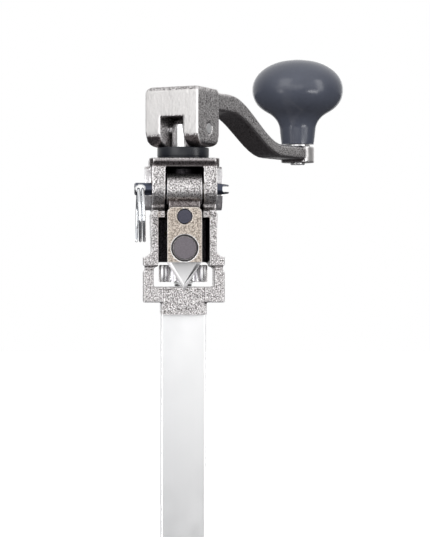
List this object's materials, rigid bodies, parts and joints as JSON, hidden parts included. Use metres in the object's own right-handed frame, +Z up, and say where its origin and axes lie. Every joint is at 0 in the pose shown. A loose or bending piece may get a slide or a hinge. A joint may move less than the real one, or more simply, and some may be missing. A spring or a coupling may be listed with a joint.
{
  "type": "manual can opener",
  "caption": "Crank can opener head on a flat bar: hinged pointed knife, toothed feed gear, tipping crank with a round knob, quick-release hinge pin.",
  "frame": {"origin": "on the bar's lower end face, in line with the arbor", "axes": "+Z up along the bar and the arbor, -Y towards the knife and the user, +X to the user's right"},
  "size_m": [0.1336, 0.1818, 0.55],
  "materials": {
    "cast_nickel": "nickel-plated sand casting, grained",
    "sand_cast": "unplated sand casting, beige grey, grained",
    "stainless": "satin stainless steel",
    "dark_steel": "dark oiled steel",
    "tool_steel": "ground tool steel",
    "zinc": "bright zinc plate",
    "bronze": "plain bearing bronze",
    "black_nylon": "satin black nylon",
    "knob_grey": "gloss slate-grey moulded plastic"
  },
  "bodies": {
    "frame": {"frame_casting": "cast_nickel", "bar": "stainless", "bar_screw_upper": "dark_steel", "bar_screw_lower": "dark_steel", "thrust_bushing": "black_nylon", "hinge_bush_left": "bronze", "hinge_bush_right": "bronze", "arbor_spring": "stainless"},
    "sleeve": {"lift_sleeve": "bronze"},
    "arbor": {"arbor": "stainless", "arbor_retainer": "dark_steel", "feed_gear": "tool_steel", "gear_washer": "zinc", "gear_screw": "dark_steel"},
    "handle": {"crank_handle": "cast_nickel", "handle_pin": "stainless", "knob_stud": "stainless", "knob_washer": "stainless"},
    "knob": {"knob": "knob_grey", "knob_bush": "bronze", "knob_cap": "knob_grey"},
    "holder": {"knife_holder": "sand_cast", "knife": "tool_steel", "knife_screw": "tool_steel", "knife_dowel": "dark_steel"},
    "pin": {"quick_release_pin": "dark_steel"},
    "ring": {"split_ring": "zinc"}
  },
  "joints": [
    {"name": "arbor_lift", "type": "slide", "parent": "frame", "child": "sleeve", "axis": [0, 0, 1], "range_m": [0, 0.00465]},
    {"name": "crank_turn", "type": "hinge", "parent": "sleeve", "child": "arbor", "pos_m": [0, 0, 0.452], "axis": [0, 0, 1], "continuous": true},
    {"name": "handle_lift", "type": "hinge", "parent": "arbor", "child": "handle", "pos_m": [0, 0, 0.4976], "axis": [0.8434, -0.5373, 0], "range_deg": [0, 90]},
    {"name": "knob_spin", "type": "hinge", "parent": "handle", "child": "knob", "pos_m": [0.07683, 0.12061, 0.4965], "axis": [0, 0, 1], "continuous": true},
    {"name": "knife_swing", "type": "hinge", "parent": "frame", "child": "holder", "pos_m": [0, -0.017, 0.4628], "axis": [-1, 0, 0], "range_deg": [0, 6.02]},
    {"name": "pin_pull", "type": "slide", "parent": "frame", "child": "pin", "axis": [-1, 0, 0], "range_m": [0, 0.06]},
    {"name": "ring_swing", "type": "hinge", "parent": "pin", "child": "ring", "pos_m": [-0.0246, -0.017, 0.4628], "axis": [0, 1, 0], "range_deg": [0, 90]}
  ],
  "couplings": [
    {"joint": "arbor_lift", "follows": "handle_lift", "m_per_rad": 0.00295},
    {"joint": "knife_swing", "follows": "handle_lift", "ratio": 0.066667}
  ]
}
